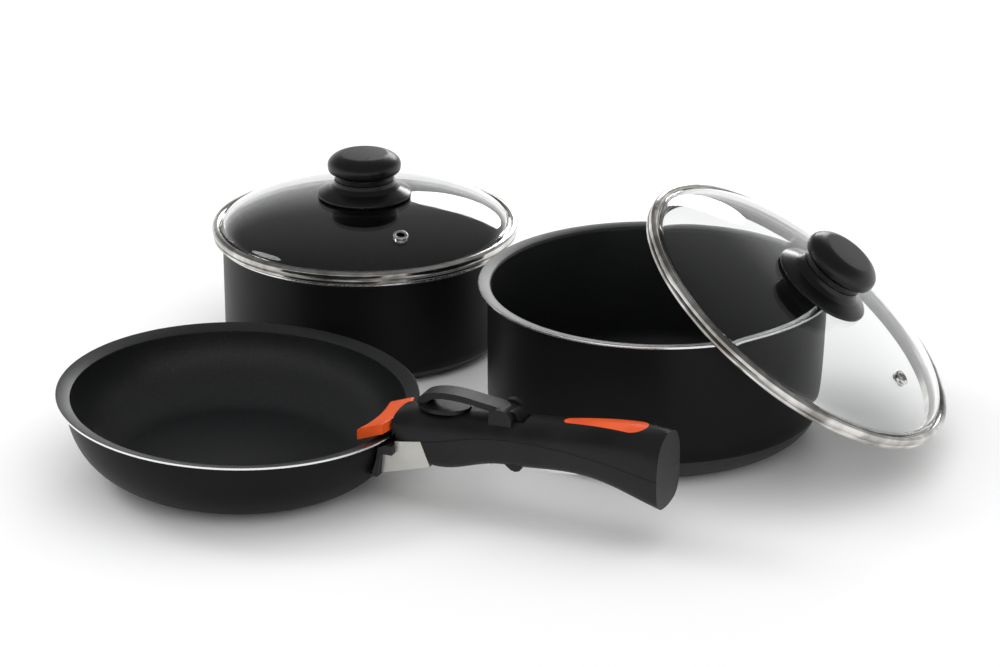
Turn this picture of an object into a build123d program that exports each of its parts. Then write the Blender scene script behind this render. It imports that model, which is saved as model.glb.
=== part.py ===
from build123d import *
import math
import os

# Camping cookware: two pots, a frying pan, two glass lids and a clip-on handle.
# Millimetres. The origin is the centre of the large pot's base, +Z is up, and every
# vessel stands on Z = 0.

# ---------------------------------------------------------------- vessels
RIM_ROUND = 0.5

LARGE_RIM_R = 99.0
LARGE_BODY_R = 93.8
LARGE_HEIGHT = 84.7
LARGE_CORNER_R = 21.0
LARGE_WALL = 2.0

SMALL_RIM_R = 88.1
SMALL_BODY_R = 84.9
SMALL_HEIGHT = 65.8
SMALL_CORNER_R = 12.0
SMALL_WALL = 1.8
SMALL_AT = (-167.1, 132.6)

RIM_EDGE = 1.5                # height of the cut edge of every rim
RIM_FALL = 1.3                # how far the top of a rim falls towards the inside

PAN_RIM_R = 98.6
PAN_HEIGHT = 42.1
PAN_WALL = 2.5
PAN_BASE_R = 59.6             # flat base; the wall above it is a quarter of an ellipse
PAN_BODY_R = 93.3
PAN_WALL_TOP = 38.6
PAN_TIP = 2.35                # the handle's weight tips the pan towards it, degrees

# ---------------------------------------------------------------- lids
LARGE_LID_R = 100.0
LARGE_DOME = 25.5             # top of the glass above the pot's rim
LARGE_SKIRT_R = 91.2          # locating skirt that drops inside the rim
LARGE_VENT_R = 66.5
LARGE_VENT_AZ = -17.0

SMALL_LID_R = 91.0
SMALL_DOME = 24.4
SMALL_SKIRT_R = 82.5
SMALL_VENT_R = 62.5
SMALL_VENT_AZ = -68.5
SEAT_GAP = 0.1                # lid band above the rim that it sits on

BAND_T = 0.8
BAND_TOP = 7.3
BAND_LIP = 4.0                # width of the band's top lip
SKIRT_DEPTH = 3.0
GLASS_T = 4.0
GLASS_EDGE = 2.0              # glass edge inside the band's outer face
GLASS_TOP = BAND_TOP - BAND_T

KNOB_CAP_R = 22.0
KNOB_NECK_R = 17.5
KNOB_SKIRT_R = 28.0
KNOB_SKIRT_H = 9.5
KNOB_H = 25.0
SCREW_R = 2.5
VENT_HOLE_R = 3.2

# The large lid leans on the large pot: its glass rests on the rim and the head of its
# knob screw hooks just inside, which stops it sliding off.
LEAN_AZ = -16.0               # compass direction that the knob points to
LEAN_EL = 54.8                # knob axis above the horizontal
LEAN_AT = (74.6, -28.3, 73.4)

# ---------------------------------------------------------------- handle
HANDLE_AT = (-226.9, -63.6, 4.85)
HANDLE_AZ = -23.5             # the handle points away from the pan
PAN_AXIS_S = -1.8             # middle of the pan's rim in the handle's frame, along it and up
PAN_RIM_Z = 39.7
GRIP_START = 96.5
GRIP_END = 247.0
SHELL_T = 2.5

CLAMP_GAP = 0.4               # jaw and pad off the wall of the pan
JAW_TRAVEL = 5.0
LEVER_SWING = 80.0
LEVER_AT = (157.0, 52.5)      # station and height of the lever's pin
CAM_R = 10.0
CAM_GAP = 0.15
PIN_R = 2.0
RUN_GAP = 0.05
LEVER_HALF = 6.0
EAR_T = 4.0
EAR_R = 6.5
PAD_AT = 121.0                # finger pad of the lever: station, underside, half length and half width
PAD_Z = 51.0
PAD_LONG = 14.5
PAD_HALF = 11.0

SLIDE_HALF = 6.0
SLIDE_Z = (38.5, 41.0)
HOOK_HALF = 10.0
HOOK_R = (85.4, 87.2)         # inner and outer radius of the hook's blade
HOOK_LOW = 26.0

TRIGGER_PIN_AT = (171.5, 31.4)
TRIGGER_HALF = 5.5

# Outline of the grip: station, half width, underside height and top height.
GRIP_SECTIONS = [
    (96.5, 14.4, 33.0, 47.6),
    (103.0, 15.0, 27.0, 49.2),
    (116.0, 15.4, 20.5, 50.6),
    (133.0, 15.5, 21.5, 51.6),
    (150.0, 15.2, 26.5, 52.2),
    (166.0, 14.8, 28.0, 52.8),
    (184.0, 15.2, 29.3, 54.4),
    (204.0, 16.0, 29.6, 57.0),
    (224.0, 16.8, 25.4, 58.8),
    (238.0, 17.2, 20.6, 59.0),
    (247.0, 17.0, 17.6, 57.6),
]


def turned(profile_edges):
    """A solid of revolution about Z from a closed outline in the XZ plane."""
    with BuildPart() as part:
        with BuildSketch(Plane.XZ):
            with BuildLine():
                for edge in profile_edges:
                    add(edge)
            make_face()
        revolve(axis=Axis.Z)
    return part.part


def outline(points, radii=None):
    """A closed outline, in XZ order, that starts and ends on the axis."""
    line = FilletPolyline(*points, radius=radii) if radii else Polyline(*points)
    return [line, Line(points[-1], points[0])]


def tube(outer_r, inner_r, low, high):
    ring = Pos(0, 0, (low + high) / 2) * Cylinder(outer_r, high - low)
    return ring - Pos(0, 0, (low + high) / 2) * Cylinder(inner_r, high - low + 2)


def rod_y(radius, length, station, height, middle=0.0):
    """A rod across the handle."""
    return Pos(station, middle, height) * Rot(90, 0, 0) * Cylinder(radius, length)


def slab(x, y, z):
    """A box from three (low, high) pairs."""
    size = [high - low for low, high in (x, y, z)]
    middle = [(high + low) / 2 for low, high in (x, y, z)]
    return Pos(*middle) * Box(*size)


def side_plate(points, half_width):
    """A plate cut to an outline of (station, height) points, as wide as the handle needs."""
    with BuildPart() as part:
        with BuildSketch(Plane.XZ):
            with BuildLine():
                Polyline(*points, close=True)
            make_face()
        extrude(amount=half_width, both=True)
    return part.part


def save(shape, name):
    shape.label = name
    export_step(shape, f"parts/{name}.step")


# ---------------------------------------------------------------- pots and pan
def pot(rim_r, body_r, height, corner_r, wall):
    """A straight-sided pot whose rim is rolled out into a short flange."""
    points = [
        (0, 0),
        (body_r, 0),
        (body_r, height - RIM_EDGE - RIM_FALL - 0.8),
        (rim_r, height - RIM_EDGE),
        (rim_r, height),
        (body_r - wall, height - RIM_FALL),
        (body_r - wall, wall),
        (0, wall),
    ]
    radii = [corner_r, 1.2, RIM_ROUND, RIM_ROUND, 1.6, corner_r - wall]
    return turned(outline(points, radii))


def pan_wall_r(z, grow=0.0):
    """Radius of the pan's curved outside wall at a height, on the pan's own axis."""
    rise = PAN_WALL_TOP + grow
    share = min(max((PAN_WALL_TOP - z) / rise, 0.0), 1.0)
    return PAN_BASE_R + (PAN_BODY_R + grow - PAN_BASE_R) * math.sqrt(1 - share ** 2)


def frying_pan():
    """A bowl with a flat base, its rim rolled out into a short flange."""
    centre = (PAN_BASE_R, PAN_WALL_TOP)
    inner_r = PAN_BODY_R - PAN_WALL
    shoulder = PAN_HEIGHT - RIM_FALL - 1.0
    spread, rise = PAN_BODY_R - PAN_BASE_R, PAN_WALL_TOP
    rim = FilletPolyline(
        (PAN_BODY_R, PAN_WALL_TOP),
        (PAN_BODY_R, PAN_WALL_TOP + 0.6),
        (PAN_RIM_R, PAN_HEIGHT - RIM_EDGE),
        (PAN_RIM_R, PAN_HEIGHT),
        (inner_r, shoulder),
        (inner_r, PAN_WALL_TOP),
        radius=[0.5, RIM_ROUND, RIM_ROUND, 0.9],
    )
    edges = [
        Line((0, 0), (PAN_BASE_R, 0)),
        EllipticalCenterArc(centre, spread, rise, start_angle=270, arc_size=90),
        rim,
        EllipticalCenterArc(centre, spread - PAN_WALL, rise - PAN_WALL, start_angle=270, arc_size=90),
        Line((PAN_BASE_R, PAN_WALL), (0, PAN_WALL)),
        Line((0, PAN_WALL), (0, 0)),
    ]
    return turned(edges)


def pan_in_handle():
    """The pan's place in the handle's frame: tipped a little towards the handle."""
    return Pos(PAN_AXIS_S, 0, PAN_RIM_Z) * Rot(0, PAN_TIP, 0) * Pos(0, 0, -PAN_HEIGHT)


def pan_filled(grow):
    """The pan and all that is inside it, grown outwards, in the handle's frame."""
    heights = [0.5, 2, 5, 9, 14, 20, 26, 32, PAN_WALL_TOP]
    wall = [(pan_wall_r(z, grow), z - grow) for z in heights]
    top = PAN_HEIGHT + grow
    points = [(0, -grow)] + wall + [
        (PAN_BODY_R + grow, PAN_WALL_TOP + 0.4 - grow),
        (PAN_RIM_R + grow, PAN_HEIGHT - RIM_EDGE - grow),
        (PAN_RIM_R + grow, top),
        (0, top),
    ]
    return pan_in_handle() * turned([Polyline(*points, close=True)])


def pan_hollow(shrink):
    """The space inside the pan and above its rim, drawn in from it, in the handle's frame."""
    inner_r = PAN_BODY_R - PAN_WALL - shrink
    points = [
        (0, 20),
        (inner_r - 3.2, 20),
        (inner_r - 0.7, 30),
        (inner_r, PAN_WALL_TOP - 1),
        (inner_r, PAN_HEIGHT - RIM_FALL - 1.0 + shrink),
        (PAN_RIM_R - 0.2, PAN_HEIGHT + shrink + 0.1),
        (PAN_RIM_R + 20, PAN_HEIGHT + shrink + 0.1),
        (PAN_RIM_R + 20, PAN_HEIGHT + 20),
        (0, PAN_HEIGHT + 20),
    ]
    return pan_in_handle() * turned([Polyline(*points, close=True)])


# ---------------------------------------------------------------- lids
def dome_z(r, lid_r, dome):
    """Height of the glass's top face: a steep shoulder, then a shallow dome."""
    foot = lid_r - BAND_LIP - 1.0
    return GLASS_TOP + (dome - GLASS_TOP) * (1 - (r / foot) ** 2.3) ** 0.62


def dome_slope(r, lid_r, dome):
    step = 0.01
    return (dome_z(r + step, lid_r, dome) - dome_z(r - step, lid_r, dome)) / (2 * step)


def glass_face_points(lid_r, dome, depth):
    """Points down one face of the glass, a given depth below its top face."""
    foot = lid_r - BAND_LIP - 1.0
    points = []
    for share in (0.985, 0.93, 0.84, 0.70, 0.50, 0.30, 0.14):
        r = foot * share
        slope = dome_slope(r, lid_r, dome)
        scale = depth / math.hypot(1, slope)
        points.append((r + slope * scale, dome_z(r, lid_r, dome) - scale))
    points.append((0, dome - depth))
    return points


def lid_glass(lid_r, dome, vent_r, vent_az):
    edge = lid_r - GLASS_EDGE
    foot = lid_r - BAND_LIP
    inner_foot = foot - 0.5
    top = [(foot, GLASS_TOP)] + glass_face_points(lid_r, dome, 0)
    under = [(inner_foot, GLASS_TOP - GLASS_T)] + glass_face_points(lid_r, dome, GLASS_T)
    edges = [
        Line((edge, GLASS_TOP), top[0]),
        Spline(*top, tangents=[(-1, 0), (-1, 0)]),
        Line(top[-1], under[-1]),
        Spline(*under, tangents=[(-1, 0), (-1, 0)]),
        Line(under[0], (edge, GLASS_TOP - GLASS_T)),
        Line((edge, GLASS_TOP - GLASS_T), (edge, GLASS_TOP)),
    ]
    glass = turned(edges)
    glass -= Pos(0, 0, dome) * Cylinder(SCREW_R + 0.7, 30)
    glass -= vent_place(lid_r, dome, vent_r, vent_az) * Cylinder(VENT_HOLE_R, 20)
    return glass


def vent_place(lid_r, dome, vent_r, vent_az):
    """Frame on the glass's top face at the steam hole, +Z out of the glass."""
    lean = -math.degrees(math.atan(dome_slope(vent_r, lid_r, dome)))
    return Rot(0, 0, vent_az) * Pos(vent_r, 0, dome_z(vent_r, lid_r, dome)) * Rot(0, lean, 0)


def vent_eyelet(lid_r, dome, vent_r, vent_az):
    """A riveted tube with a flange on each face of the glass."""
    sunk = 0.35
    barrel = tube(VENT_HOLE_R - 0.1, VENT_HOLE_R - 0.7, -GLASS_T - sunk, sunk)
    head = tube(4.6, VENT_HOLE_R - 0.7, sunk, sunk + 0.8)
    foot = tube(4.3, VENT_HOLE_R - 0.7, -GLASS_T - sunk - 0.6, -GLASS_T - sunk)
    return vent_place(lid_r, dome, vent_r, vent_az) * (barrel + head + foot)


def lid_band(lid_r, skirt_r):
    """Rolled band: skirt inside the pot, flange on the rim, wall and lip round the glass."""
    wall_r = lid_r - BAND_T
    groove = 2.6
    points = [
        (skirt_r - BAND_T, -SKIRT_DEPTH),
        (skirt_r, -SKIRT_DEPTH),
        (skirt_r, SEAT_GAP),
        (lid_r - 0.6, SEAT_GAP),
        (lid_r - 0.6, groove - 0.5),
        (lid_r - 0.9, groove),
        (lid_r, groove + 0.5),
        (lid_r, BAND_TOP - 1.0),
        (lid_r - 1.0, BAND_TOP),
        (lid_r - BAND_LIP, BAND_TOP),
        (lid_r - BAND_LIP, GLASS_TOP),
        (lid_r - GLASS_EDGE, GLASS_TOP),
        (lid_r - GLASS_EDGE, GLASS_TOP - GLASS_T),
        (wall_r - 1.4, SEAT_GAP + BAND_T),
        (skirt_r - BAND_T, SEAT_GAP + BAND_T),
    ]
    return turned([Polyline(*points, close=True)])


def knob_cap(dome):
    """Moulded grip, hollow underneath for the brass bush."""
    low = dome + KNOB_SKIRT_H
    top = dome + KNOB_H
    points = [
        (0, top),
        (KNOB_CAP_R - 5, top),
        (KNOB_CAP_R, top - 5.0),
        (KNOB_CAP_R - 0.6, low + 5.4),
        (KNOB_NECK_R, low + 3.6),
        (KNOB_NECK_R, low),
        (0, low),
    ]
    cap = turned(outline(points, [9, 4.5, 2, 1, 0.4]))
    return cap - Pos(0, 0, low + 5.5) * Cylinder(4.0, 11)


def knob_skirt(dome):
    """Flared heat guard that stands on the glass."""
    low = dome + 0.3
    top = dome + KNOB_SKIRT_H
    rim = dome - 0.3
    points = [
        (SCREW_R + 0.7, low + 1.0),
        (SCREW_R + 0.7, top),
        (KNOB_NECK_R + 0.4, top),
        (KNOB_NECK_R + 1.0, top - 2.6),
        (KNOB_NECK_R + 3.4, top - 4.8),
        (KNOB_SKIRT_R - 2.6, rim + 2.8),
        (KNOB_SKIRT_R, rim + 1.6),
        (KNOB_SKIRT_R, rim),
        (KNOB_SKIRT_R - 1.8, rim),
        (12.0, low),
        (12.0, low + 1.0),
    ]
    return turned([Polyline(*points, close=True)])


def knob_insert(dome):
    low = dome + KNOB_SKIRT_H
    return tube(4.0, SCREW_R, low, low + 11.0)


def knob_screw(dome):
    """Pan head screw, its head under the washers."""
    seat = dome - GLASS_T - 2.7
    shank = seat + 20.0
    head = Pos(0, 0, seat - 1.4) * Cylinder(4.5, 2.8)
    slot = Pos(0, 0, seat - 2.8) * Box(7.0, 1.0, 1.8)
    return Pos(0, 0, (seat + shank) / 2) * Cylinder(SCREW_R - 0.02, shank - seat) + head - slot


def knob_washer(dome):
    low = dome - GLASS_T - 2.7
    return tube(5.6, SCREW_R + 0.3, low, low + 1.0)


def knob_gasket(dome):
    low = dome - GLASS_T - 1.7
    return tube(6.2, SCREW_R + 0.3, low, low + 1.5)


def lid(lid_r, dome, skirt_r, vent_r, vent_az):
    """All the pieces of one lid, standing on the plane of its pot's rim."""
    return {
        "glass": lid_glass(lid_r, dome, vent_r, vent_az),
        "band": lid_band(lid_r, skirt_r),
        "knob_cap": knob_cap(dome),
        "knob_skirt": knob_skirt(dome),
        "knob_insert": knob_insert(dome),
        "knob_screw": knob_screw(dome),
        "knob_washer": knob_washer(dome),
        "knob_gasket": knob_gasket(dome),
        "vent_eyelet": vent_eyelet(lid_r, dome, vent_r, vent_az),
    }


def lean_place():
    """Where the large lid leans."""
    return Pos(*LEAN_AT) * Rot(0, 0, LEAN_AZ) * Rot(0, 90 - LEAN_EL, 0)


# ---------------------------------------------------------------- handle shells
def grip_loft(inset, start, end, top_inset=None):
    """The grip's outer form, or the same form drawn in by an inset."""
    top_in = inset if top_inset is None else top_inset
    sections = []
    for station, half, low, top in GRIP_SECTIONS:
        sections.append(grip_section(station, half - inset, low + inset, top - top_in))
    body = loft(Sketch() + sections, ruled=False)
    return body & slab((start, end), (-40, 40), (0, 90))


def grip_section(station, half, low, top):
    """One rounded section: a flattish underside with round corners and a crowned top."""
    middle = (low + top) / 2
    rise = (top - low) / 2
    points = []
    for step in range(16):
        angle = math.radians(step * 22.5 + 11.25)
        cross, up = math.cos(angle), math.sin(angle)
        power = 2 / 2.5 if up > 0 else 2 / 3.4
        y = half * math.copysign(abs(cross) ** power, cross)
        z = middle + rise * math.copysign(abs(up) ** power, up)
        points.append((y, z))
    plane = Plane(origin=(station, 0, 0), x_dir=(0, 1, 0), z_dir=(1, 0, 0))
    with BuildSketch(plane) as sketch:
        with BuildLine():
            Spline(*points, periodic=True)
        make_face()
    return sketch.sketch


def above_parting():
    """Everything above the joint line of the two shells."""
    line = [(86, 31.5), (100, 34.2), (118, 36.5), (150, 43.6), (188, 44.8), (213, 42.8), (250, 36.2)]
    with BuildPart() as part:
        with BuildSketch(Plane.XZ):
            with BuildLine():
                Spline(*line)
                Polyline(line[-1], (250, 90), (86, 90), line[0])
            make_face()
        extrude(amount=30, both=True)
    return part.part


def inlay_prism():
    """Teardrop plan of the inlay, narrow towards the lever."""
    narrow, wide = 3.6, 8.0
    front, back = 193.0, 227.5
    with BuildPart() as part:
        with BuildSketch():
            with Locations((front, 0)):
                Circle(narrow)
            with Locations((back, 0)):
                Circle(wide)
            make_hull()
        extrude(amount=90)
    return part.part


def handle_inlay():
    skin = grip_loft(0, 185, 240) - grip_loft(0, 185, 240, top_inset=1.4)
    return skin & inlay_prism() & slab((185, 240), (-20, 20), (48, 70))


def screw_stations():
    """Station, underside, meeting height and upper end of each shell screw."""
    return [(146.0, 25.6, 41.6, 48.6), (229.0, 24.0, 41.0, 53.0)]


def pad_oval(grow, low, high):
    """Oval plate in plan with the lever's finger pad."""
    return Pos(PAD_AT, 0, low) * extrude(Ellipse(PAD_LONG + grow, PAD_HALF + grow), high - low)


def lever_seat():
    """Shallow oval recess under the lever's finger pad."""
    return pad_oval(0.6, PAD_Z - 0.6, PAD_Z + 10)


def handle_upper_shell(inlay):
    station, height = LEVER_AT
    shell = (grip_loft(0, GRIP_START, GRIP_END) - lever_seat()) & above_parting()
    shell -= pan_filled(CLAMP_GAP)
    shell -= side_plate(pad_side(), 19.1)
    shell -= side_plate(cup_side(), CUP_HALF + 0.02)
    shell -= grip_loft(SHELL_T, GRIP_START + SHELL_T, GRIP_END - SHELL_T)
    inner = grip_loft(SHELL_T, GRIP_START, GRIP_END)
    for side in (-1, 1):
        ear = rod_y(EAR_R, EAR_T, station, height, side * (LEVER_HALF + 0.3 + EAR_T / 2))
        foot = slab((station - EAR_R, station + EAR_R), (-EAR_T / 2, EAR_T / 2), (height - 5, height))
        shell += ear + Pos(0, side * (LEVER_HALF + 0.3 + EAR_T / 2), 0) * foot
    for at, _, low, high in screw_stations():
        root = high + 8
        boss = Pos(at, 0, (low + root) / 2) * Cylinder(3.3, root - low)
        shell += boss & inner
    stop_rib = slab((184.5, 187.0), (-8, 8), (40.0, 60.0)) & inner
    shell += stop_rib
    # Slot for the lever's cam, slot for the carriage and the screws' pilot holes.
    shell -= slab((station - 6.6, station + 12.0), (-LEVER_HALF - 0.3, LEVER_HALF + 0.3), (44, 70))
    shell -= slab((90, 104.5), (-HOOK_HALF - 0.6, HOOK_HALF + 0.6), (SLIDE_Z[0] - 0.6, SLIDE_Z[1] + 0.6))
    shell -= rod_y(PIN_R, 40, station, height)
    for at, _, low, high in screw_stations():
        shell -= Pos(at, 0, (low + high) / 2 - 1) * Cylinder(1.5, high - low + 2)
    return shell - inlay


def handle_lower_shell():
    shell = grip_loft(0, GRIP_START, GRIP_END) - above_parting()
    shell -= grip_loft(SHELL_T, GRIP_START, GRIP_END - SHELL_T)
    inner = grip_loft(SHELL_T, GRIP_START, GRIP_END)
    # Finger guard in front of the trigger.
    guard = side_plate([(158, 31), (163.5, 26.6), (166, 26.0), (168.5, 26.8), (171, 31)], 11.0)
    shell += guard - grip_loft(0.5, GRIP_START, GRIP_END)
    shell -= cup_clearance()
    for at, low, high, _ in screw_stations():
        post = Pos(at, 0, (low + high) / 2) * Cylinder(3.6, high - low)
        shell += post & inner & slab((80, 260), (-20, 20), (0, TANG_Z[0] if at < 165 else high))
        shell -= Pos(at, 0, high / 2) * Cylinder(1.9, high + 2)
        shell -= Pos(at, 0, low / 2) * Cylinder(3.4, low + 2)
    # Slot for the trigger, and its pin's bore.
    half = TRIGGER_HALF + 0.5
    shell -= slab((167.2, 208.5), (-half, half), (20, 40))
    bearings = rod_y(4.0, 2.5, *TRIGGER_PIN_AT, half + 1.75) + rod_y(4.0, 2.5, *TRIGGER_PIN_AT, -half - 1.75)
    shell += bearings & grip_loft(1.0, GRIP_START, GRIP_END)
    shell -= rod_y(1.5, 2 * half + 6, *TRIGGER_PIN_AT)
    return shell


# ---------------------------------------------------------------- handle metalwork
CUP_HALF = 15.0
CUP_T = 2.0
TANG_Z = (34.6, 36.6)
TANG_HALF = 8.0


def cup_side():
    """Side outline of the steel cup, notched at its top front for the pad."""
    return [(90.6, 14.0), (92.0, 26.6), (98.8, 26.6), (98.8, 33.2), (113.5, 35.6), (119.0, 22.0)]


def cup_clearance():
    """The lower shell starts at a slanted edge just behind the cup."""
    return side_plate([(80, 10), (119.3, 10), (119.3, 21.9), (113.8, 35.8), (113.8, 50), (80, 50)], 30)


def handle_chassis():
    """Pressed cup with a bottom, two sides, a front flange and a back web, and a flat tang."""
    outline_points = cup_side()
    solid = side_plate(outline_points, CUP_HALF)
    core = [
        (outline_points[0][0] + 2.4, 16.2),
        (outline_points[1][0] + 2.4, 26.6),
        (outline_points[1][0] + 8.4, 60.0),
        (105.0, 60.0),
        (116.0, 24.6),
    ]
    cup = solid - side_plate(core, CUP_HALF - CUP_T)
    tang = slab((109.0, 164.0), (-TANG_HALF, TANG_HALF), TANG_Z)
    web_half = CUP_HALF - CUP_T + 0.5
    web = slab((109.0, 111.5), (-web_half, web_half), (TANG_Z[0] - 8, TANG_Z[0] + 0.1))
    chassis = cup + tang + web
    return chassis - Pos(screw_stations()[0][0], 0, 35) * Cylinder(1.9, 20)


def pad_side():
    """Side outline of the pad: a face for the pan's wall and a lug under the jaw's slide."""
    return [(70, 13), (90.2, 12.6), (92.0, 26.6), (98.8, 26.6), (98.8, 37.6), (97.6, 37.6), (97.6, 36.6), (70, 36.6)]


def handle_outer_pad():
    """Rubber pad between the cup and the outside of the pan."""
    block = side_plate(pad_side(), 19.0) & slab((84.0, 100.0), (-19, 19), (13.0, 38.0))
    return block - pan_filled(CLAMP_GAP) - pan_hollow(-4.0) - side_plate(cup_side(), CUP_HALF + 0.05)


def handle_screws():
    screws = []
    for at, low, _, high in screw_stations():
        shank = Pos(at, 0, (low + high) / 2) * Cylinder(1.5, high - low)
        head = Pos(at, 0, low - 1.1) * Cylinder(3.0, 2.2)
        recess = Pos(at, 0, low - 2.0) * Box(0.9, 4.0, 1.4)
        screws.append(shank + head - recess)
    return Compound(children=screws)


# ---------------------------------------------------------------- jaw
def around_pan(points):
    """A ring about the upright line through the middle of the pan's rim."""
    return Pos(PAN_AXIS_S, 0, 0) * turned([Polyline(*points, close=True)])


def jaw_carriage():
    """Steel slide: a bar under the lever, a follower for its cam and a hook over the rim."""
    station = LEVER_AT[0]
    follower = station + CAM_R + CAM_GAP
    bar = slab((86.0, follower + 2.5), (-SLIDE_HALF, SLIDE_HALF), SLIDE_Z)
    rail_slot = slab((140.0, 153.5), (-3.6, 3.6), (30, 50))
    tab = slab((follower, follower + 2.5), (-5, 5), (SLIDE_Z[0], 49.2))
    head = slab((86.0, 99.0), (-HOOK_HALF, HOOK_HALF), SLIDE_Z)
    inner, outer = (r - PAN_AXIS_S for r in HOOK_R)
    blade = around_pan([(inner, HOOK_LOW), (outer, HOOK_LOW), (outer, SLIDE_Z[1]), (inner, SLIDE_Z[1])])
    blade &= slab((60, 110), (-HOOK_HALF, HOOK_HALF), (20, 50))
    # The front is bevelled to stay under the sloping top of its cover.
    bevel = around_pan([(84.0, 38.6), (92.0, 41.6), (92.0, 60.0), (84.0, 60.0)])
    return bar - rail_slot + tab + head + blade - bevel


def jaw_cover(carriage):
    """Orange moulding over the hook, with wings that spread along the rim."""
    shift = -PAN_AXIS_S
    front, back = 81.6 + shift, 96.1 + shift
    points = [(front, 33.0), (front, 38.6), (front + 1.2, 39.6), (back - 1.0, 44.2), (back, 44.2), (back, 38.6)]
    ring = around_pan(points)
    cover = ring & slab((60, 97), (-20, 20), (30, 60))
    cover -= pan_filled(CLAMP_GAP) - pan_hollow(CLAMP_GAP)
    return cover - carriage


# ---------------------------------------------------------------- lever
def cam_points():
    """Involute cam: its reach falls evenly as the lever lifts, so the jaw moves evenly."""
    swing = math.radians(LEVER_SWING)
    base = JAW_TRAVEL / swing
    points = []
    for step in range(9):
        angle = swing * step / 8
        reach = CAM_R - base * angle
        x = reach * math.cos(angle) + base * math.sin(angle)
        z = reach * math.sin(angle) - base * math.cos(angle)
        points.append((LEVER_AT[0] + x, LEVER_AT[1] + z))
    return points


def lever():
    station, height = LEVER_AT
    top = [(107.2, 53.0), (108.6, 56.6), (113, 59.4), (120, 61.0), (128, 61.4), (140, 60.2), (151, 58.8)]
    under = [(151, 55.2), (140, 56.8), (128, 57.8), (120, 57.4), (114.6, 55.6), (112.6, 53.0)]
    with BuildPart() as arm:
        with BuildSketch(Plane.XZ):
            with BuildLine():
                Spline(*top)
                Line(top[-1], under[0])
                Spline(*under)
                Line(under[-1], top[0])
            make_face()
        extrude(amount=LEVER_HALF - 0.5, both=True)
    pad = pad_oval(0, PAD_Z, PAD_Z + 2.2)
    neck = side_plate([(149, 54.0), (149, 59.2), (158, 57.5), (158, 52.5)], LEVER_HALF - 0.2)
    boss = rod_y(5.0, 2 * LEVER_HALF - 0.4, station, height)
    shape = arm.part + pad + neck + boss + cam()
    return shape - rod_y(PIN_R + RUN_GAP, 40, station, height)


def cam():
    station, height = LEVER_AT
    points = cam_points()
    with BuildPart() as part:
        with BuildSketch(Plane.XZ):
            with BuildLine():
                Spline(*points)
                Polyline(points[-1], (station, height + 3.5), (station, height - 4.2), points[0])
            make_face()
        extrude(amount=4.8, both=True)
    return part.part


def lever_pin():
    length = 2 * (LEVER_HALF + 0.3 + EAR_T)
    return rod_y(PIN_R, length, *LEVER_AT)


# ---------------------------------------------------------------- springs and trigger
def coil(radius, wire, length, turns):
    """A compression spring along Z from zero."""
    path = Helix(pitch=(length - wire) / turns, height=length - wire, radius=radius)
    start = Plane(origin=path @ 0, z_dir=path % 0)
    with BuildPart() as part:
        with BuildSketch(start):
            Circle(wire / 2)
        sweep(path=path, is_frenet=True)
    return Pos(0, 0, wire / 2) * part.part


def jaw_spring():
    start = LEVER_AT[0] + CAM_R + CAM_GAP + 2.5
    return Pos(start + 0.1, 0, 45.0) * Rot(0, 90, 0) * coil(3.0, 0.8, 184.5 - start - 0.2, 5)


def trigger():
    """Pressed steel strip that hangs on its front pin and bows out under the grip."""
    station, height = TRIGGER_PIN_AT
    profile = [(169.4, 29.4), (174.0, 27.4), (186.0, 27.0), (198.0, 27.9), (206.4, 30.0),
               (206.0, 31.4), (198.0, 29.5), (186.0, 28.6), (175.5, 29.0), (172.5, 31.0)]
    strip = side_plate(profile, TRIGGER_HALF)
    ears = rod_y(2.6, 2 * TRIGGER_HALF, station, height)
    inner_gap = slab((168.0, 176.0), (-TRIGGER_HALF + 1.5, TRIGGER_HALF - 1.5), (30.2, 36.0))
    return strip + ears - inner_gap - rod_y(1.5 + RUN_GAP, 30, station, height)


def trigger_pin():
    return rod_y(1.5, 2 * TRIGGER_HALF + 6.0, *TRIGGER_PIN_AT)


def trigger_spring():
    return Pos(186.0, 0, 28.9) * coil(2.6, 0.6, 11.0, 5)


def main():
    os.makedirs("parts", exist_ok=True)
    save(pot(LARGE_RIM_R, LARGE_BODY_R, LARGE_HEIGHT, LARGE_CORNER_R, LARGE_WALL), "large_pot")
    small_at = Pos(*SMALL_AT, 0)
    small = pot(SMALL_RIM_R, SMALL_BODY_R, SMALL_HEIGHT, SMALL_CORNER_R, SMALL_WALL)
    save(small_at * small, "small_pot")
    handle_at = Pos(*HANDLE_AT) * Rot(0, 0, HANDLE_AZ)
    save(handle_at * pan_in_handle() * frying_pan(), "frying_pan")

    small_lid_at = small_at * Pos(0, 0, SMALL_HEIGHT)
    for name, piece in lid(SMALL_LID_R, SMALL_DOME, SMALL_SKIRT_R, SMALL_VENT_R, SMALL_VENT_AZ).items():
        save(small_lid_at * piece, f"small_lid_{name}")
    for name, piece in lid(LARGE_LID_R, LARGE_DOME, LARGE_SKIRT_R, LARGE_VENT_R, LARGE_VENT_AZ).items():
        save(lean_place() * piece, f"large_lid_{name}")

    inlay = handle_inlay()
    carriage = jaw_carriage()
    pieces = {
        "handle_upper_shell": handle_upper_shell(inlay),
        "handle_lower_shell": handle_lower_shell(),
        "handle_inlay": inlay,
        "handle_chassis": handle_chassis(),
        "handle_outer_pad": handle_outer_pad(),
        "handle_screws": handle_screws(),
        "lever": lever(),
        "lever_pin": lever_pin(),
        "jaw_carriage": carriage,
        "jaw_cover": jaw_cover(carriage),
        "jaw_spring": jaw_spring(),
        "trigger": trigger(),
        "trigger_pin": trigger_pin(),
        "trigger_spring": trigger_spring(),
    }
    for name, piece in pieces.items():
        save(handle_at * piece, name)


main()
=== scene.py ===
import math

import bpy
from mathutils import Matrix, Vector


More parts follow.
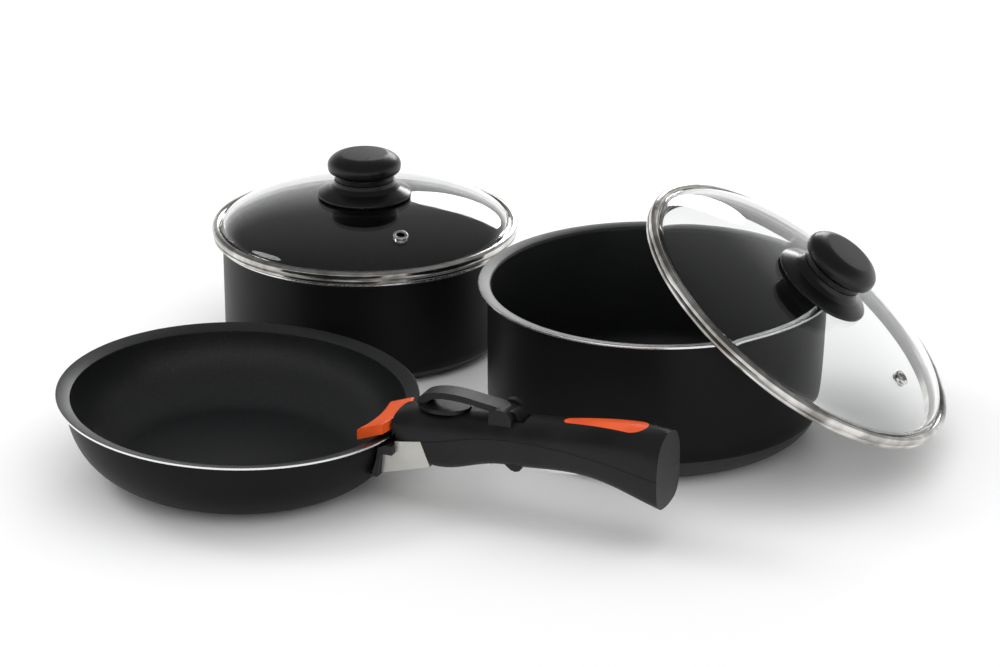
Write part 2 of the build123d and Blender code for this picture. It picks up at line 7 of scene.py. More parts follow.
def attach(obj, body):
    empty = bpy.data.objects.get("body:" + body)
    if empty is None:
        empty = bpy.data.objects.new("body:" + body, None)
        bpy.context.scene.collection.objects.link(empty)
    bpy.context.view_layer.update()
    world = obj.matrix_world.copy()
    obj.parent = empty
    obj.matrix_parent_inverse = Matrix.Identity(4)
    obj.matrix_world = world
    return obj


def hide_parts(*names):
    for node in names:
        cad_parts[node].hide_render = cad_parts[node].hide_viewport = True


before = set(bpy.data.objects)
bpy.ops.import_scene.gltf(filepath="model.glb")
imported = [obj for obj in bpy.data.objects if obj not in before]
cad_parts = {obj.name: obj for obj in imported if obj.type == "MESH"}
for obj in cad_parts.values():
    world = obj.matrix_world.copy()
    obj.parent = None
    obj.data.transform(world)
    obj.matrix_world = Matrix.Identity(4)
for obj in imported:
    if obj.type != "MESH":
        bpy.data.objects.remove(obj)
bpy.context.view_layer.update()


# ------------------------------------------------------------------ large pot
# The casserole is one deep pressing of aluminium sheet with its rim rolled out into a short
# flange. It is sprayed black inside and out, then the cut edge of the rim is turned bright
# on a lathe. The middle of the base is recessed a little, so that it stands on a ring.

def deselect():
    if bpy.context.object and bpy.context.object.mode == "EDIT":
        bpy.ops.object.mode_set(mode="OBJECT")
    bpy.ops.object.select_all(action="DESELECT")


def begin_outline(name, x, z):
    """A new mesh with one point, in edit mode, ready to be drawn out as an outline."""
    deselect()
    bpy.ops.mesh.primitive_plane_add(size=0.001, location=(0, 0, 0))
    piece = bpy.context.object
    piece.name = name
    bpy.ops.object.mode_set(mode="EDIT")
    bpy.ops.mesh.select_all(action="SELECT")
    bpy.ops.mesh.merge(type="CENTER")
    bpy.ops.transform.translate(value=(x, 0, z))
    return piece


def draw_outline(name, points, closed=False):
    """Draws an outline in the XZ plane by pulling each point out of the last."""
    piece = begin_outline(name, *points[0])
    for (x0, z0), (x1, z1) in zip(points, points[1:]):
        bpy.ops.mesh.extrude_region_move(TRANSFORM_OT_translate={"value": (x1 - x0, 0, z1 - z0)})
    if closed:
        pick_points(piece, [points[0], points[-1]])
        bpy.ops.mesh.edge_face_add()
    return piece


def pick_points(piece, points):
    """Selects the outline points that lie at these places."""
    bpy.ops.mesh.select_all(action="DESELECT")
    bpy.ops.object.mode_set(mode="OBJECT")
    for x, z in points:
        nearest = min(piece.data.vertices, key=lambda v: (v.co - Vector((x, 0, z))).length)
        nearest.select = True
    bpy.ops.object.mode_set(mode="EDIT")


def round_corner(piece, before, corner, after, radius, steps):
    """Rounds one corner of the outline to a radius."""
    one = (Vector(before) - Vector(corner)).normalized()
    two = (Vector(after) - Vector(corner)).normalized()
    half = one.angle(two) / 2
    pick_points(piece, [corner])
    bpy.ops.mesh.bevel(offset=radius / math.tan(half), offset_type="OFFSET", affect="VERTICES",
                       segments=steps, profile=0.5)


def spin_outline(steps=192):
    """Turns the drawn outline right round the Z axis and closes it."""
    bpy.ops.mesh.select_all(action="SELECT")
    bpy.ops.mesh.spin(steps=steps, angle=2 * math.pi, center=(0, 0, 0), axis=(0, 0, 1))
    bpy.ops.mesh.select_all(action="SELECT")
    bpy.ops.mesh.remove_doubles(threshold=0.000002)
    bpy.ops.mesh.normals_make_consistent(inside=False)
    bpy.ops.object.mode_set(mode="OBJECT")


def set_down(piece, place, smooth=40):
    """Puts a finished piece in its place and leaves its object at the origin."""
    deselect()
    piece.select_set(True)
    bpy.context.view_layer.objects.active = piece
    piece.matrix_world = place
    bpy.ops.object.transform_apply(location=True, rotation=True, scale=True)
    bpy.ops.object.shade_smooth_by_angle(angle=math.radians(smooth))


def turned(name, points, radii, place, closed=False, steps=192):
    """A turned piece: outline, rounded corners, one turn, and down in its place."""
    piece = draw_outline(name, points, closed)
    large_radius = 0.004
    for index, radius in radii.items():
        after = points[(index + 1) % len(points)]
        corner_steps = 10 if radius > large_radius else 4
        round_corner(piece, points[index - 1], points[index], after, radius, corner_steps)
    spin_outline(steps)
    set_down(piece, place)
    return piece


def surface(name, colour, roughness, metallic=0.0):
    """A new material with its main shader."""
    material = bpy.data.materials.new(name)
    material.use_nodes = True
    shader = material.node_tree.nodes["Principled BSDF"]
    shader.inputs["Base Color"].default_value = (*colour, 1)
    shader.inputs["Roughness"].default_value = roughness
    shader.inputs["Metallic"].default_value = metallic
    return material


def node(material, kind, **settings):
    """A new shader node with its settings."""
    made = material.node_tree.nodes.new(kind)
    for key, value in settings.items():
        setattr(made, key, value)
    return made


def join(material, out, into):
    """Links one node's output to another's input."""
    material.node_tree.links.new(out, into)


def shader_of(material):
    return material.node_tree.nodes["Principled BSDF"]


def place_of(material, centre=(0, 0, 0)):
    """Object coordinates measured from a centre."""
    coordinates = node(material, "ShaderNodeTexCoord")
    mapping = node(material, "ShaderNodeMapping")
    mapping.inputs["Location"].default_value = [-c for c in centre]
    join(material, coordinates.outputs["Object"], mapping.inputs["Vector"])
    return mapping.outputs["Vector"]


def noise(material, vector, scale, detail=4.0, rough=0.5):
    """A noise pattern, its scale in features per metre."""
    texture = node(material, "ShaderNodeTexNoise")
    texture.inputs["Scale"].default_value = scale
    texture.inputs["Detail"].default_value = detail
    texture.inputs["Roughness"].default_value = rough
    join(material, vector, texture.inputs["Vector"])
    return texture.outputs["Fac"]


def spread(material, value, low, high, from_low=0.3, from_high=0.7):
    """Maps a pattern to a range."""
    ranged = node(material, "ShaderNodeMapRange")
    ranged.inputs["From Min"].default_value = from_low
    ranged.inputs["From Max"].default_value = from_high
    ranged.inputs["To Min"].default_value = low
    ranged.inputs["To Max"].default_value = high
    join(material, value, ranged.inputs["Value"])
    return ranged.outputs["Result"]


def bump(material, height, distance, strength):
    """Fine relief led by a pattern, its depth in metres."""
    relief = node(material, "ShaderNodeBump")
    relief.inputs["Strength"].default_value = strength
    relief.inputs["Distance"].default_value = distance
    join(material, height, relief.inputs["Height"])
    join(material, relief.outputs["Normal"], shader_of(material).inputs["Normal"])


def vary_gloss(material, pattern, low, high):
    """Roughness that varies with a pattern."""
    join(material, spread(material, pattern, low, high), shader_of(material).inputs["Roughness"])


def two_tone(material, value, dark, light):
    """Colour between two tones, led by a pattern."""
    mix = node(material, "ShaderNodeMix", data_type="RGBA")
    first, second = [socket for socket in mix.inputs if socket.type == "RGBA"]
    first.default_value = (*dark, 1)
    second.default_value = (*light, 1)
    join(material, value, mix.inputs["Factor"])
    mixed = next(socket for socket in mix.outputs if socket.type == "RGBA")
    join(material, mixed, shader_of(material).inputs["Base Color"])


def enamel_outside(name, centre):
    """Sprayed heat-proof black: satin, with the faint orange peel of a spray gun."""
    material = surface(name, (0.0042, 0.0042, 0.0045), 0.42)
    shader_of(material).inputs["Specular IOR Level"].default_value = 0.14
    where = place_of(material, centre)
    bump(material, noise(material, where, 900, 3), 0.00006, 0.5)
    cloud = noise(material, where, 14, 3)
    vary_gloss(material, cloud, 0.38, 0.46)
    return material


def coating_inside(name, centre):
    """Two-coat non-stick, fine pale flecks in a dark satin film."""
    material = surface(name, (0.008, 0.0085, 0.009), 0.4)
    shader_of(material).inputs["Specular IOR Level"].default_value = 0.6
    where = place_of(material, centre)
    flecks = noise(material, where, 2400, 2, 0.6)
    film, fleck = (0.0065, 0.007, 0.0075), (0.06, 0.062, 0.066)
    two_tone(material, spread(material, flecks, 0, 1, 0.60, 0.72), film, fleck)
    bump(material, noise(material, where, 1500, 3), 0.00008, 0.5)
    cloud = noise(material, where, 20, 3)
    vary_gloss(material, cloud, 0.34, 0.42)
    return material


def bare_aluminium(name, centre):
    """Turned bright edge with a fine uneven gloss."""
    material = surface(name, (0.86, 0.86, 0.86), 0.24, 1.0)
    where = place_of(material, centre)
    fine = noise(material, where, 700, 2)
    vary_gloss(material, fine, 0.18, 0.32)
    return material


def coat_faces(piece, materials, choose):
    """Gives the piece its materials and picks one for each face by its place."""
    for material in materials:
        piece.data.materials.append(material)
    for face in piece.data.polygons:
        face.material_index = choose(face)


def pot_outline(rim, body, height, corner, wall):
    """Half section of a pot, from the middle of the base, round the rim, to the inside."""
    cut_edge, fall, recess, under_flange = 0.0015, 0.0013, 0.0004, 0.0008
    ring = body - corner - 0.003
    points = [(0, recess), (ring - 0.001, recess), (ring, 0), (body, 0),
              (body, height - cut_edge - fall - under_flange), (rim, height - cut_edge),
              (rim, height),
              (body - wall, height - fall), (body - wall, wall), (0, wall)]
    radii = {8: corner - wall, 7: 0.0016, 6: 0.0004, 5: 0.0003, 4: 0.0012, 3: corner}
    return points, radii


def pot(name, rim, body, height, corner, wall, centre):
    """A pot with its outside, its inside and its bare rim each in their own finish."""
    points, radii = pot_outline(rim, body, height, corner, wall)
    place = Matrix.Translation((*centre, 0))
    piece = turned(name, points, radii, place)
    outside = enamel_outside(name + "_outside", (*centre, 0))
    inside = coating_inside(name + "_inside", (*centre, 0))
    bare = bare_aluminium(name + "_rim", (*centre, 0))

    OUTSIDE, INSIDE, BARE = 0, 1, 2

    def choose(face):
        out = Vector((face.center.x - centre[0], face.center.y - centre[1]))
        facing = (face.normal.x * out.x + face.normal.y * out.y) / max(out.length, 1e-6)
        from_top = height - face.center.z
        if from_top < 0.0017 and out.length > rim - 0.0005 and facing > 0.55:
            return BARE
        if from_top < 0.002 and face.normal.z > 0.3:
            return INSIDE
        within = out.length < body - wall * 0.6 and face.center.z > wall * 0.6
        return INSIDE if within else OUTSIDE

    coat_faces(piece, [outside, inside, bare], choose)
    return piece


large_pot = pot("casserole", rim=0.099, body=0.0938, height=0.0847, corner=0.021, wall=0.002,
                centre=(0, 0))
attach(large_pot, "large_pot")
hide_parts("large_pot")


# ------------------------------------------------------------------ small pot
# The saucepan is the same pressing in a smaller size, with a thinner sheet and a tighter
# corner at the base.

SMALL_CENTRE = (-0.1671, 0.1326)
SMALL_HEIGHT = 0.0658
small_pot = pot("saucepan", rim=0.0881, body=0.0849, height=SMALL_HEIGHT, corner=0.012, wall=0.0018,
                centre=SMALL_CENTRE)
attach(small_pot, "small_pot")
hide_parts("small_pot")


# ------------------------------------------------------------------ frying pan
# The pan is a bowl pressed from thicker sheet, with a flat base and a short flange. Inside is
# a flecked non-stick film and the cut edge is turned bright. It stands tipped a
# little towards its handle.

def turn_about(axis, degrees):
    return Matrix.Rotation(math.radians(degrees), 4, axis)


HANDLE_PLACE = Matrix.Translation((-0.2269, -0.0636, 0.00485)) @ turn_about("Z", -23.5)
PAN_HEIGHT = 0.0421
PAN_TIP = 2.35
RIM_MIDDLE = (-0.0018, 0, 0.0397)
PAN_PLACE = (HANDLE_PLACE @ Matrix.Translation(RIM_MIDDLE) @ turn_about("Y", PAN_TIP)
             @ Matrix.Translation((0, 0, -PAN_HEIGHT)))
WALL_TOP = 0.0386


def quarter_bowl(base, wide, high):
    """Points up the curved wall, from the flat base to where the wall stands upright."""
    steps = 22
    turns = [math.pi / 2 * step / steps for step in range(steps + 1)]
    return [(base + wide * math.sin(a), WALL_TOP - high * math.cos(a)) for a in turns]


def frying_pan():
    base, wall, wide, rim_r, recess = 0.0596, 0.0025, 0.0337, 0.0986, 0.0005
    outer = quarter_bowl(base, wide, WALL_TOP)
    inner = quarter_bowl(base, wide - wall, WALL_TOP - wall)
    foot = [(0, recess), (0.0490, recess), (0.0500, 0)]
    rim = [(0.0933, 0.0392), (rim_r, 0.0406), (rim_r, PAN_HEIGHT), (0.0908, 0.0398)]
    points = foot + outer + rim + inner[::-1] + [(0, wall)]
    first = len(foot) + len(outer)
    radii = {first + 3: 0.0005, first + 2: 0.0004, first + 1: 0.0003}
    piece = turned("frying_pan_shell", points, radii, PAN_PLACE)
    home = PAN_PLACE.inverted()
    turn = home.to_3x3()
    OUTSIDE, INSIDE, BARE = 0, 1, 2

    def choose(face):
        at, normal = home @ face.center, turn @ face.normal
        out = math.hypot(at.x, at.y)
        facing = (normal.x * at.x + normal.y * at.y) / max(out, 1e-6)
        if at.z > PAN_HEIGHT - 0.0017 and out > rim_r - 0.0005 and facing > 0.55:
            return BARE
        if facing < -0.02 or (normal.z > 0.3 and at.z > wall * 0.5):
            return INSIDE
        return OUTSIDE

    centre = PAN_PLACE.translation
    coat_faces(piece, [enamel_outside("pan_outside", centre), coating_inside("pan_inside", centre),
                       bare_aluminium("pan_rim", centre)], choose)
    return piece


pan = frying_pan()
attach(pan, "frying_pan")
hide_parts("frying_pan")


# ------------------------------------------------------------------ lid glass
# Each lid is a dome of tempered glass, sagged over a mould, so that it has a flat edge, a
# steep shoulder and a shallow crown. It is drilled for the knob screw and the steam vent.

GLASS_TOP = 0.0065
GLASS_T = 0.004
BAND_LIP = 0.004
HOLE = 0.0032
LEAN_AT = (0.0746, -0.0283, 0.0734)
LEAN_TURN = -16
LEAN_FROM_UPRIGHT = 90 - 54.8
LIDS = {
    "small_lid": {"rim": 0.0910, "skirt": 0.0825, "dome": 0.0244, "vent": (0.0625, -68.5),
                  "place": Matrix.Translation((*SMALL_CENTRE, SMALL_HEIGHT))},
    "large_lid": {"rim": 0.1000, "skirt": 0.0912, "dome": 0.0255, "vent": (0.0665, -17.0),
                  "place": (Matrix.Translation(LEAN_AT) @ turn_about("Z", LEAN_TURN)
                            @ turn_about("Y", LEAN_FROM_UPRIGHT))},
}


def crown(r, rim, dome):
    """Height of the glass's top face at a radius."""
    foot = rim - 0.005
    return GLASS_TOP + (dome - GLASS_TOP) * max(0.0, 1 - (r / foot) ** 2.3) ** 0.62


def crown_slope(r, rim, dome):
    step = 1e-5
    return (crown(r + step, rim, dome) - crown(r - step, rim, dome)) / (2 * step)


def glass_outline(rim, dome):
    """Half section of the glass: down its top face, round its edge and back underneath."""
    foot = rim - 0.005
    top = [(HOLE, crown(HOLE, rim, dome))]
    under = [(HOLE, crown(HOLE, rim, dome) - GLASS_T)]
    steps = 40
    for step in range(1, steps):
        r = foot * math.sin(math.pi / 2 * step / steps)
        slope = crown_slope(r, rim, dome)
        reach = GLASS_T / math.hypot(1, slope)
        top.append((r, crown(r, rim, dome)))
        low = (r + slope * reach, crown(r, rim, dome) - reach)
        if r > 0.0045 and low[1] > GLASS_TOP - GLASS_T + 0.0002:
            under.append(low)
    edge_r, edge_low = rim - 0.0021, GLASS_TOP - GLASS_T
    edge = [(rim - BAND_LIP, GLASS_TOP), (edge_r, GLASS_TOP),
            (edge_r, edge_low), (under[-1][0] + 0.0012, edge_low)]
    return top + edge + under[::-1]


def clear_glass(name, centre):
    """Tempered soda glass: clear, a trace green, with the slight wave of a sagged sheet."""
    material = surface(name, (0.975, 0.99, 0.985), 0.0)
    shader_of(material).inputs["Transmission Weight"].default_value = 1.0
    shader_of(material).inputs["IOR"].default_value = 1.5
    where = place_of(material, centre)
    bump(material, noise(material, where, 22, 2), 0.0002, 0.12)
    return material


def bore(piece, place, radius, depth):
    """Drills a hole through a piece along the Z axis of a place."""
    deselect()
    bpy.ops.mesh.primitive_cylinder_add(vertices=48, radius=radius, depth=depth)
    drill = bpy.context.object
    drill.matrix_world = place
    bpy.context.view_layer.objects.active = piece
    cut = piece.modifiers.new("bore", "BOOLEAN")
    cut.object = drill
    cut.operation = "DIFFERENCE"
    cut.solver = "EXACT"
    deselect()
    piece.select_set(True)
    bpy.context.view_layer.objects.active = piece
    bpy.ops.object.modifier_apply(modifier=cut.name)
    deselect()
    drill.select_set(True)
    bpy.ops.object.delete()


def vent_place(lid):
    """The steam hole's place on the glass, square to its top face."""
    r, azimuth = lid["vent"]
    slope = crown_slope(r, lid["rim"], lid["dome"])
    return (turn_about("Z", azimuth)
            @ Matrix.Translation((r, 0, crown(r, lid["rim"], lid["dome"])))
            @ Matrix.Rotation(-math.atan(slope), 4, "Y"))


for lid_name, lid in LIDS.items():
    glass = draw_outline(lid_name + "_dome", glass_outline(lid["rim"], lid["dome"]), closed=True)
    spin_outline()
    bore(glass, vent_place(lid), radius=HOLE, depth=0.012)
    glass.data.materials.append(clear_glass(lid_name + "_glass_clear", lid["place"].translation))
    set_down(glass, lid["place"], smooth=30)
    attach(glass, lid_name)
    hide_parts(lid_name + "_glass")


# ------------------------------------------------------------------ lid bands
# A strip of stainless steel is rolled round the edge of each glass: a skirt that drops
# inside the pot, a flange that sits on the rim, a bead, and a lip that holds the glass.
# It is polished all over.

def band_outline(rim, skirt):
    t = 0.0008
    seat = 0.0001
    points = [(skirt - t, -0.003), (skirt, -0.003), (skirt, seat), (rim - 0.0012, seat),
              (rim - 0.0005, 0.0008), (rim - 0.0005, 0.0021), (rim - 0.0011, 0.0027),
              (rim - 0.0003, 0.0033), (rim, 0.0043), (rim, 0.0061), (rim - 0.0009, 0.0071),
              (rim - 0.002, 0.0073), (rim - 0.0036, 0.0073), (rim - BAND_LIP, 0.007),
              (rim - BAND_LIP, GLASS_TOP),
              (rim - 0.002, GLASS_TOP), (rim - 0.002, GLASS_TOP - GLASS_T),
              (rim - 0.0036, seat + t), (skirt - t, seat + t)]
    radii = {4: 0.0004, 7: 0.0003, 8: 0.0004, 9: 0.0006, 10: 0.0004}
    return points, radii


def polished_steel(name, centre):
    """Stainless steel polished on a wheel: near mirror, with dark and pale streaks of painted
    reflection in its colour.
    """
    material = surface(name, (0.60, 0.58, 0.55), 0.14, 1.0)
    where = place_of(material, centre)
    hair = noise(material, where, 260, 4, 0.7)
    streak = noise(material, where, 34, 3, 0.6)
    # The dark and pale tones are painted reflection: blotches of dark and bright surroundings as if
    # mirrored in the polish, painted into the steel's colour.
    painted_dark_reflection, bright = (0.30, 0.285, 0.265), (0.80, 0.785, 0.76)
    two_tone(material, spread(material, streak, 0, 1, 0.38, 0.60), painted_dark_reflection, bright)
    vary_gloss(material, hair, 0.07, 0.2)
    bump(material, noise(material, where, 70, 2), 0.0003, 0.35)
    return material


for lid_name, lid in LIDS.items():
    points, radii = band_outline(lid["rim"], lid["skirt"])
    band = turned(lid_name + "_steel_band", points, radii, lid["place"], closed=True)
    band.data.materials.append(polished_steel(lid_name + "_band_steel", lid["place"].translation))
    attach(band, lid_name)
    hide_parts(lid_name + "_band")


# ------------------------------------------------------------------ steam vents
# A small stainless eyelet is riveted through the hole in each glass, with a rolled flange on
# both faces.

for lid_name, lid in LIDS.items():
    points = [(0.0025, -0.0045), (0.0025, 0.0008), (0.0031, 0.0013), (0.0042, 0.0012),
              (0.0046, 0.0006), (0.0043, 0.0003), (0.0031, 0.0003), (0.0031, -0.0043),
              (0.0042, -0.0043), (0.0042, -0.0048), (0.003, -0.005)]
    radii = {2: 0.0004, 3: 0.0004, 4: 0.0003}
    place = lid["place"] @ vent_place(lid)
    eyelet = turned(lid_name + "_eyelet", points, radii, place, closed=True, steps=40)
    steel = polished_steel(lid_name + "_eyelet_steel", lid["place"].translation)
    eyelet.data.materials.append(steel)
    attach(eyelet, lid_name)
    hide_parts(lid_name + "_vent_eyelet")


# ------------------------------------------------------------------ knobs
# Each knob is two phenolic mouldings: a flared heat guard that stands on the glass, and a
# round grip on a neck. A screw from under the glass holds them both.

def phenolic(name, centre, rough):
    """Compression-moulded phenolic: deep black, with a fine grain and cloudy gloss."""
    material = surface(name, (0.0045, 0.0045, 0.0048), rough)
    shader_of(material).inputs["Specular IOR Level"].default_value = 0.36
    where = place_of(material, centre)
    bump(material, noise(material, where, 1400, 3), 0.00005, 0.5)
    cloud = noise(material, where, 60, 3)
    vary_gloss(material, cloud, rough - 0.05, rough + 0.06)
    return material


for lid_name, lid in LIDS.items():
    dome = lid["dome"]
    guard_height, knob_height, grip_r, neck_r, guard_r = 0.0095, 0.025, 0.022, 0.0175, 0.028
    low, top = dome + guard_height, dome + knob_height
    grip_points = [(0, top), (0.017, top), (grip_r, top - 0.005), (0.0214, low + 0.0054),
                   (neck_r, low + 0.0036), (neck_r, low), (0, low)]
    grip_radii = {5: 0.0004, 4: 0.001, 3: 0.002, 2: 0.0045, 1: 0.009}
    grip = turned(lid_name + "_grip", grip_points, grip_radii, lid["place"], steps=128)
    grip.data.materials.append(phenolic(lid_name + "_grip_black", lid["place"].translation, 0.30))
    guard_points = [(HOLE, dome + 0.0013), (HOLE, low), (0.0179, low),
                    (0.0185, dome + 0.0069), (0.0209, dome + 0.0047), (0.0254, dome + 0.0025),
                    (guard_r, dome + 0.0013), (guard_r, dome - 0.0003), (0.0262, dome - 0.0003),
                    (0.012, dome + 0.0003), (0.012, dome + 0.0013)]
    guard_radii = {7: 0.0004, 6: 0.0008, 5: 0.004, 4: 0.002, 3: 0.0015, 2: 0.0003}
    guard = turned(lid_name + "_guard", guard_points, guard_radii, lid["place"], closed=True,
                   steps=128)
    guard.data.materials.append(phenolic(lid_name + "_guard_black", lid["place"].translation, 0.22))
    for piece, cad_name in ((grip, "_knob_cap"), (guard, "_knob_skirt")):
        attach(piece, lid_name)
        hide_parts(lid_name + cad_name)


# ------------------------------------------------------------------ knob fixings
# A zinc plated pan head screw runs up through a steel washer and a silicone washer, which
# spares the glass, into a brass bush that is moulded in the grip.

def keep_cad(name, material):
    """Keeps a CAD node's own shape and gives it a finish."""
    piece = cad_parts[name]
    if not piece.material_slots:
        piece.data.materials.append(material)
    for own_slot in piece.material_slots:
        own_slot.material = material


def machined_metal(name, colour, roughness):
    """Turned or plated metal, with fine tool marks."""
    material = surface(name, colour, roughness, 1.0)
    where = place_of(material)
    vary_gloss(material, noise(material, where, 500, 4), roughness - 0.06, roughness + 0.1)
    bump(material, noise(material, where, 900, 3), 0.00004, 0.4)
    return material


def silicone(name):
    """Cloudy silicone rubber, faintly translucent, with a moulded grain."""
    material = surface(name, (0.62, 0.62, 0.6), 0.5)
    shader_of(material).inputs["Transmission Weight"].default_value = 0.3
    where = place_of(material)
    bump(material, noise(material, where, 700, 2), 0.00005, 0.4)
    return material


zinc = machined_metal("zinc_plate", (0.62, 0.63, 0.64), 0.3)
brass = machined_metal("turned_brass", (0.78, 0.58, 0.25), 0.25)
clear_silicone = silicone("translucent_silicone")
for lid_name in LIDS:
    keep_cad(lid_name + "_knob_screw", zinc)
    keep_cad(lid_name + "_knob_washer", zinc)
    keep_cad(lid_name + "_knob_insert", brass)
    keep_cad(lid_name + "_knob_gasket", clear_silicone)


# ------------------------------------------------------------------ handle shells
# The grip is two nylon mouldings screwed together from below. The tool was spark eroded,
# which leaves a fine even grain, and their gloss is a little uneven.

def moulded_nylon(name, rough, seam=False):
    """Black glass-filled nylon: fine even grain, faint flow marks, worn patches."""
    material = surface(name, (0.0075, 0.0075, 0.008), rough)
    shader_of(material).inputs["Specular IOR Level"].default_value = 0.26
    where = place_of(material)
    grain = noise(material, where, 2600, 3)
    flow = noise(material, where, 45, 3)
    black, worn = (0.006, 0.006, 0.0064), (0.0095, 0.0095, 0.01)
    tone = spread(material, flow, 0, 1, 0.35, 0.65)
    if seam:
        depth, darkening = 12, 4
        line = parting_seam(material)
        grain = combine(material, "SUBTRACT", grain, combine(material, "MULTIPLY", line, depth))
        tone = combine(material, "SUBTRACT", tone, combine(material, "MULTIPLY", line, darkening))
        tone = spread(material, tone, 0.55, 1.0, 0.0, 1.0)
        black = (0.0008, 0.0008, 0.0008)
    two_tone(material, tone, black, worn)
    bump(material, grain, 0.00007, 0.55)
    vary_gloss(material, flow, rough - 0.05, rough + 0.06)
    return material


def combine(material, operation, first, second):
    """Arithmetic on two patterns, or on a pattern and a number."""
    step = node(material, "ShaderNodeMath", operation=operation)
    join(material, first, step.inputs[0])
    if isinstance(second, (int, float)):
        step.inputs[1].default_value = second
    else:
        join(material, second, step.inputs[1])
    return step.outputs["Value"]


def parting_seam(material):
    """One on the fine joint line where the two mouldings meet, nought elsewhere."""
    start, length, height_span = 0.086, 0.164, 0.06
    solid_within, gone_beyond = 0.00018, 0.00042
    coordinates = node(material, "ShaderNodeTexCoord")
    along = node(material, "ShaderNodeMapping", vector_type="TEXTURE")
    along.inputs["Location"].default_value = HANDLE_PLACE.translation
    along.inputs["Rotation"].default_value = HANDLE_PLACE.to_euler()
    join(material, coordinates.outputs["Object"], along.inputs["Vector"])
    split = node(material, "ShaderNodeSeparateXYZ")
    join(material, along.outputs["Vector"], split.inputs["Vector"])
    station = spread(material, split.outputs["X"], 0.0, 1.0, start, start + length)
    curve = node(material, "ShaderNodeFloatCurve")
    line = curve.mapping.curves[0]
    joint = [(start, 0.0315), (0.100, 0.0342), (0.118, 0.0365), (0.150, 0.0436),
             (0.188, 0.0448), (0.213, 0.0428), (0.250, 0.0362)]
    for x, z in joint[1:-1]:
        line.points.new((x - start) / length, z / height_span)
    line.points[0].location = (0.0, joint[0][1] / height_span)
    line.points[-1].location = (1.0, joint[-1][1] / height_span)
    curve.mapping.update()
    join(material, station, curve.inputs["Value"])
    meeting = combine(material, "MULTIPLY", curve.outputs["Value"], height_span)
    offset = combine(material, "SUBTRACT", split.outputs["Z"], meeting)
    away = combine(material, "ABSOLUTE", offset, 0.0)
    return spread(material, away, 1.0, 0.0, solid_within, gone_beyond)


shell_black = moulded_nylon("shell_black", 0.40, seam=True)
keep_cad("handle_upper_shell", shell_black)
keep_cad("handle_lower_shell", shell_black)
keep_cad("handle_screws", zinc)


# ------------------------------------------------------------------ handle inlay
# A teardrop of orange plastic is pressed into a pocket on top of the grip, flush with it.

def orange_moulding(name, rough):
    """Deep orange plastic with a satin grain and slight streaks of pigment."""
    material = surface(name, (0.74, 0.085, 0.012), rough)
    where = place_of(material)
    streak = noise(material, where, 80, 4)
    deep, light = (0.70, 0.075, 0.010), (0.80, 0.105, 0.016)
    two_tone(material, spread(material, streak, 0, 1, 0.35, 0.65), deep, light)
    bump(material, noise(material, where, 1800, 3), 0.00005, 0.5)
    vary_gloss(material, streak, rough - 0.04, rough + 0.05)
    return material


keep_cad("handle_inlay", orange_moulding("inlay_orange", 0.38))


# ------------------------------------------------------------------ clamp
# A pressed steel cup and tang carry the clamp. A rubber pad bears on the outside of the pan,
# and the sliding jaw hooks over the rim, its steel hook cased in orange plastic.

def tumbled_steel(name, colour=(0.62, 0.61, 0.57), rough=0.34):
    """Pressed sheet, tumbled and lacquered: a soft grey with fine scratches both ways."""
    material = surface(name, colour, rough, 0.85)
    where = place_of(material)
    scratch = noise(material, where, 420, 5, 0.75)
    cloud = noise(material, where, 60, 3)
    two_tone(material, spread(material, cloud, 0, 1), tuple(0.88 * c for c in colour), colour)
    vary_gloss(material, scratch, rough - 0.08, rough + 0.1)
    bump(material, scratch, 0.00004, 0.4)
    return material


def black_rubber(name):
    """Matt rubber with a fine moulded grain, a little paler where it stands up."""
    material = surface(name, (0.01, 0.01, 0.01), 0.62)
    where = place_of(material)
    grain = noise(material, where, 1500, 4)
    two_tone(material, spread(material, grain, 0, 1), (0.007, 0.007, 0.007), (0.016, 0.016, 0.016))
    bump(material, grain, 0.00012, 0.6)
    return material


keep_cad("handle_chassis", tumbled_steel("cup_steel"))
keep_cad("jaw_carriage", tumbled_steel("carriage_steel", (0.55, 0.55, 0.54), 0.3))
keep_cad("jaw_cover", orange_moulding("jaw_orange", 0.34))
keep_cad("handle_outer_pad", black_rubber("pad_rubber"))


# ------------------------------------------------------------------ lever
# The black lever folds down on the grip. It turns on a black pin between two ears, and its
# cam pushes the jaw against a coil spring inside the handle.

def drawn_wire(name, tone):
    """Drawn or turned steel, with fine marks."""
    material = surface(name, (tone, tone, tone * 0.98), 0.28, 1.0)
    where = place_of(material)
    line = noise(material, where, 900, 3)
    vary_gloss(material, line, 0.2, 0.36)
    bump(material, line, 0.00003, 0.4)
    return material


keep_cad("lever", moulded_nylon("lever_black", 0.34))
keep_cad("lever_pin", moulded_nylon("pin_black", 0.4))
keep_cad("jaw_spring", drawn_wire("jaw_spring_wire", 0.5))


# ------------------------------------------------------------------ trigger
# A strip of stainless steel under the grip turns on a short pin at its front end and is
# held down by a small spring.

keep_cad("trigger", tumbled_steel("trigger_strip", (0.72, 0.71, 0.68), 0.24))
keep_cad("trigger_pin", drawn_wire("trigger_pin_steel", 0.55))
keep_cad("trigger_spring", drawn_wire("trigger_spring_wire", 0.5))


# ------------------------------------------------------------------ table, light and camera
# A plain pale table, pale walls all round, even light from the ceiling with two soft lamps,
# and a long lens. The plain colour transform keeps the table near white and the pots black.

deselect()
bpy.ops.mesh.primitive_plane_add(size=14, location=(0, 3, 0))
table = bpy.context.object
table.name = "pale_table"
pale = surface("pale_table_top", (0.93, 0.93, 0.93), 0.8)
pale_where = place_of(pale)
bump(pale, noise(pale, pale_where, 300, 3), 0.0001, 0.1)
table.data.materials.append(pale)


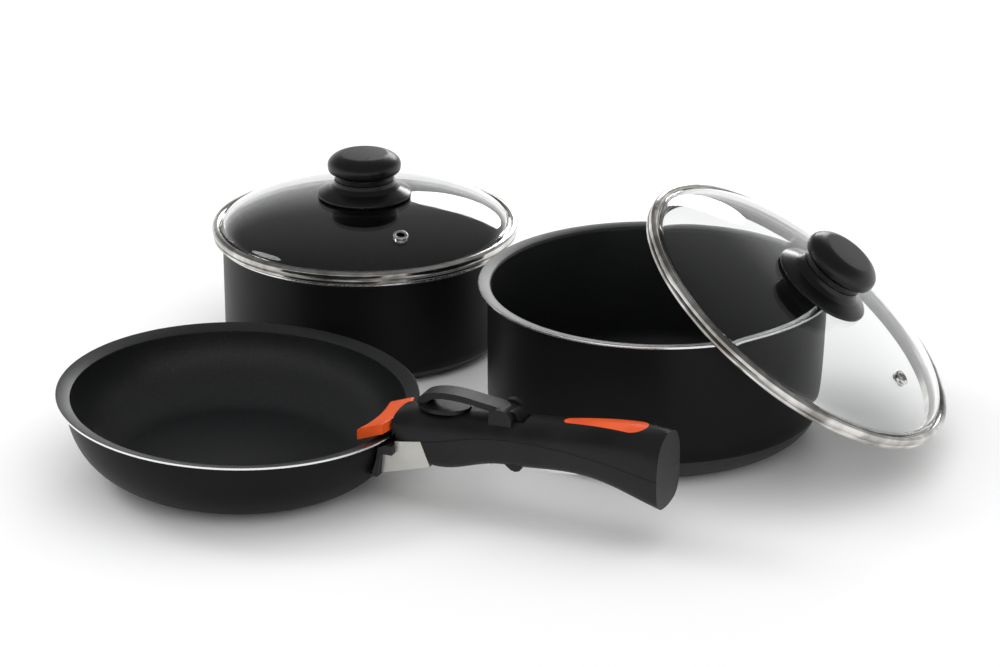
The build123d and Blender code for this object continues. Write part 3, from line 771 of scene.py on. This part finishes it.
def studio_sky():
    """Pale walls all round with a darker ceiling, which is what the polished parts mirror."""
    world = bpy.data.worlds.new("studio")
    bpy.context.scene.world = world
    world.use_nodes = True
    tree = world.node_tree
    direction = tree.nodes.new("ShaderNodeTexCoord")
    split = tree.nodes.new("ShaderNodeSeparateXYZ")
    ramp = tree.nodes.new("ShaderNodeMapRange")
    ramp.interpolation_type = "SMOOTHSTEP"
    ramp.inputs["From Min"].default_value = 0.08
    ramp.inputs["From Max"].default_value = 0.50
    ramp.inputs["To Min"].default_value = 0.95
    ramp.inputs["To Max"].default_value = 0.20
    tree.links.new(direction.outputs["Generated"], split.inputs["Vector"])
    tree.links.new(split.outputs["Z"], ramp.inputs["Value"])
    tree.links.new(ramp.outputs["Result"], tree.nodes["Background"].inputs["Strength"])
    tree.nodes["Background"].inputs["Color"].default_value = (1, 1, 1, 1)


studio_sky()


def soft_box(name, place, aim, width, height, watts, mirrored):
    """A soft lamp aimed at a point, which the glossy parts may or may not mirror."""
    light = bpy.data.lights.new(name, "AREA")
    light.shape = "ELLIPSE"
    light.size = width
    light.size_y = height
    light.energy = watts
    lamp = bpy.data.objects.new(name, light)
    bpy.context.scene.collection.objects.link(lamp)
    lamp.location = place
    lamp.rotation_euler = (Vector(aim) - Vector(place)).to_track_quat("-Z", "Y").to_euler()
    lamp.visible_glossy = mirrored


def broad_sun(name, tilt, turn, spread_angle, strength):
    """Even light from a wide patch of ceiling, which nothing mirrors."""
    light = bpy.data.lights.new(name, "SUN")
    light.energy = strength
    light.angle = math.radians(spread_angle)
    lamp = bpy.data.objects.new(name, light)
    bpy.context.scene.collection.objects.link(lamp)
    lamp.rotation_euler = (math.radians(tilt), 0, math.radians(turn))
    lamp.visible_glossy = False
    lamp.visible_transmission = False


broad_sun("ceiling_light", 10, 20, 130, 2.45)
soft_box("left_light", (-1.5, 0.5, 1.3), (-0.15, 0, 0.05), 0.7, 0.7, 6, mirrored=False)
soft_box("back_light", (0.35, 1.9, 0.75), (-0.15, 0, 0.05), 1.0, 0.4, 8, mirrored=True)
bpy.context.scene.view_settings.view_transform = "Standard"

camera = bpy.data.objects.new("camera", bpy.data.cameras.new("camera"))
bpy.context.scene.collection.objects.link(camera)
camera.location = (-0.0868, -1.6646, 0.7122)
camera.rotation_euler = (math.radians(68.4), 0, 0)
camera.data.lens = 115.2
camera.data.sensor_width = 36
bpy.context.scene.camera = camera
